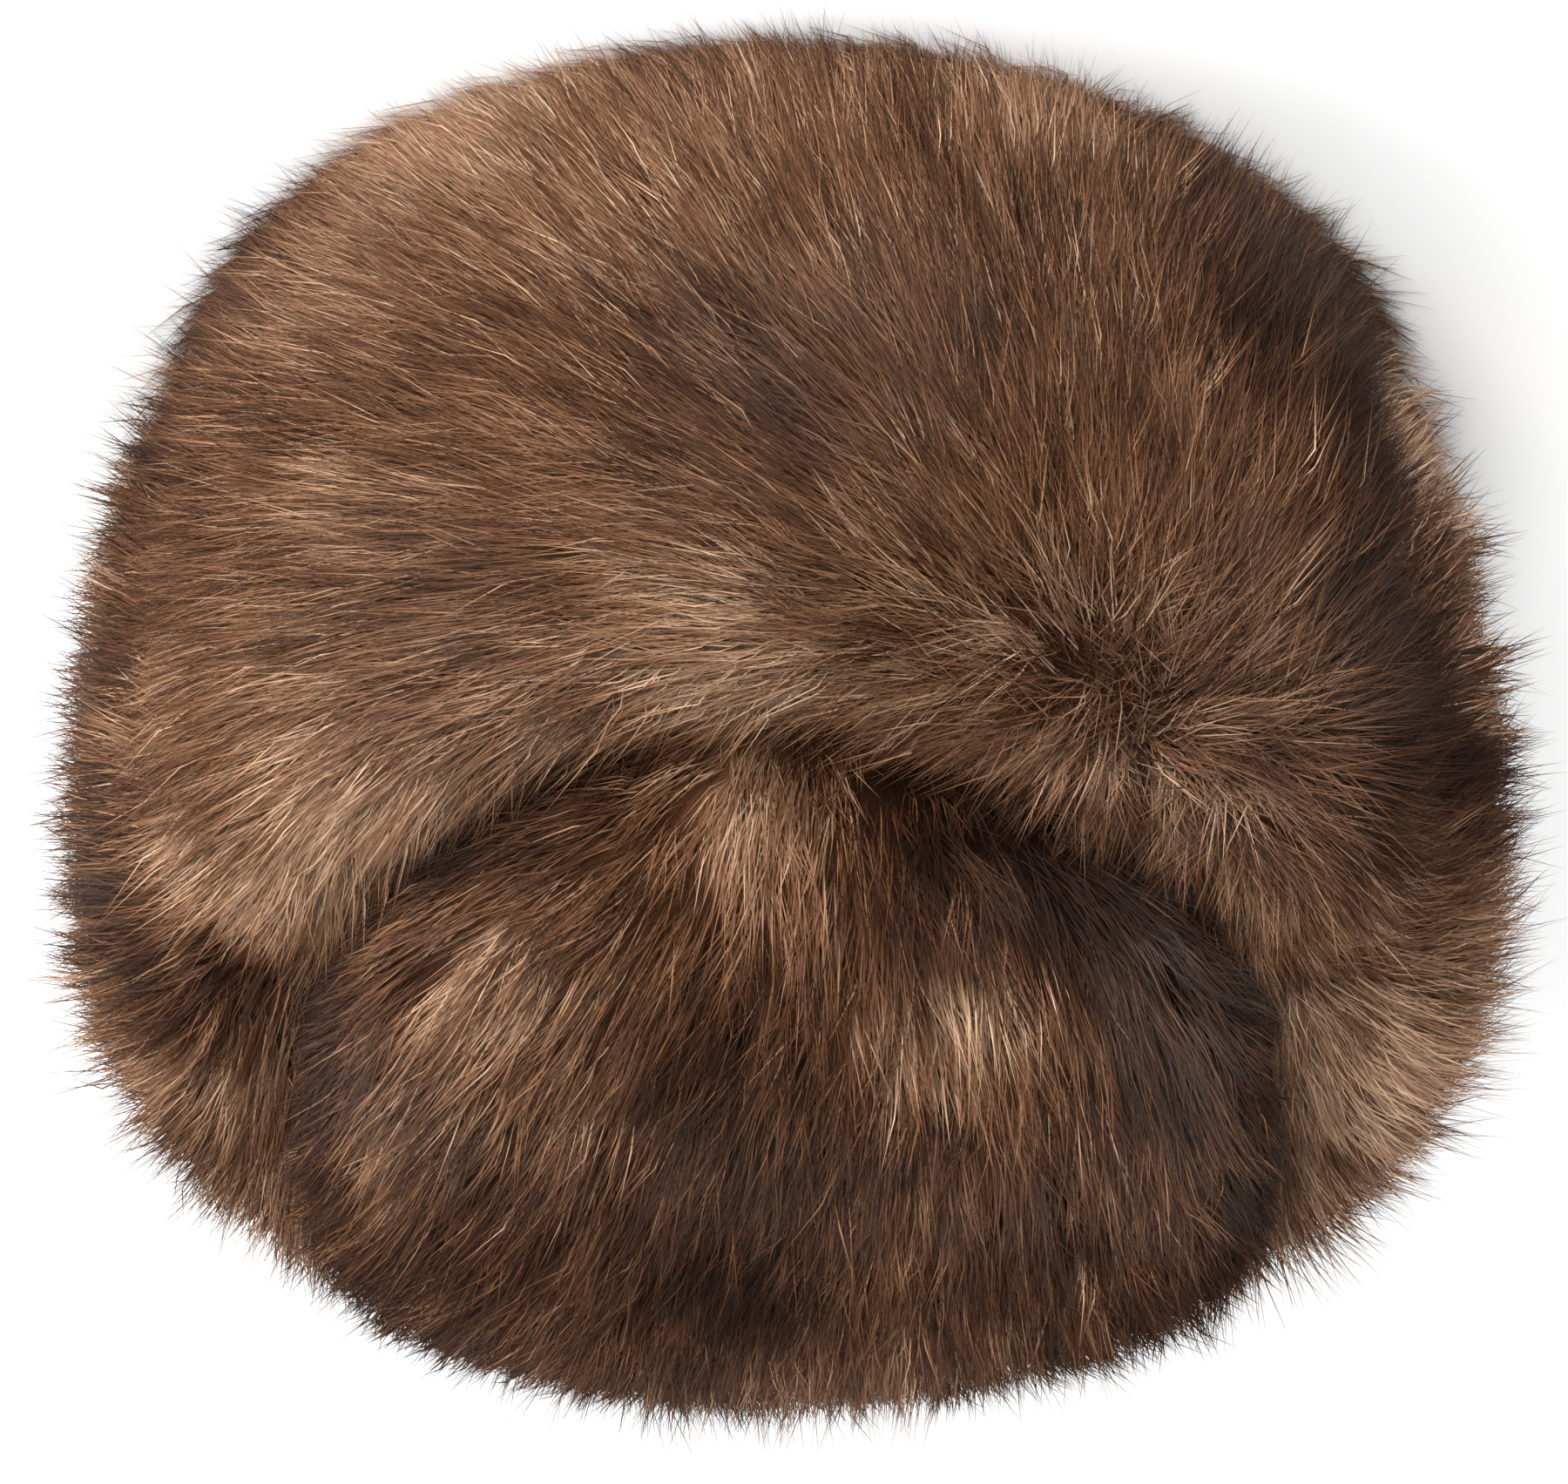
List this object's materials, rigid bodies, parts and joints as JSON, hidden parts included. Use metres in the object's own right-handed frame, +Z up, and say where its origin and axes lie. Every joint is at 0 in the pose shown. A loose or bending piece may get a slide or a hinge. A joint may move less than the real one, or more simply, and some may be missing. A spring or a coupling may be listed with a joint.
{
  "type": "faux fur hat",
  "caption": "Domed long-pile faux fur hat with a deep turned-up fur cuff in two seamed panels round an open head hollow, resting on its cuff.",
  "frame": {"origin": "centre of the hat's box in plan, on the surface that its cuff stands on", "axes": "+Z up out of the crown, -Y the front of the hat, +X the side on the right of a viewer in front of it"},
  "size_m": [0.2892, 0.2874, 0.1826],
  "materials": {
    "crown_fur": "long dark brown synthetic pile with grey-brown patches, dull",
    "cuff_front_fur": "long tan synthetic pile with dark brown guard hairs, softly lustrous",
    "cuff_back_fur": "long tan synthetic pile with dark brown guard hairs, softly lustrous"
  },
  "bodies": {
    "root": {"crown": "crown_fur", "cuff_front": "cuff_front_fur", "cuff_back": "cuff_back_fur"}
  },
  "joints": []
}
